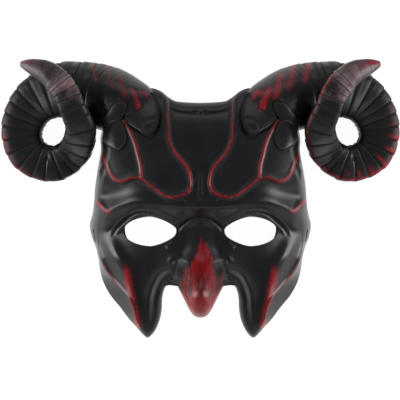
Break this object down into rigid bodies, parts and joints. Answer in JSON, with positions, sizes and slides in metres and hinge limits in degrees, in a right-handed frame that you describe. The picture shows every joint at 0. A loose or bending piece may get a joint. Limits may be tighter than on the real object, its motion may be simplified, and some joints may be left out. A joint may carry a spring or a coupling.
{
  "type": "devil half mask",
  "caption": "Rigid half mask of a devil's face with a hooked nose, pointed cheeks, strap slots at the temples and coiled ribbed ram horns, cast in one piece.",
  "frame": {"origin": "under the middle of the whole mask's extent, on the surface it lies on", "axes": "+X to the wearer's left, +Y towards the crown and the horns, +Z out of the face; the mask lies on its back, face up"},
  "size_m": [0.292, 0.2019, 0.087],
  "materials": {
    "painted_cast": "satin black paint rubbed with dark red on the raised edges"
  },
  "bodies": {
    "root": {"devil_half_mask": "painted_cast"}
  },
  "joints": []
}
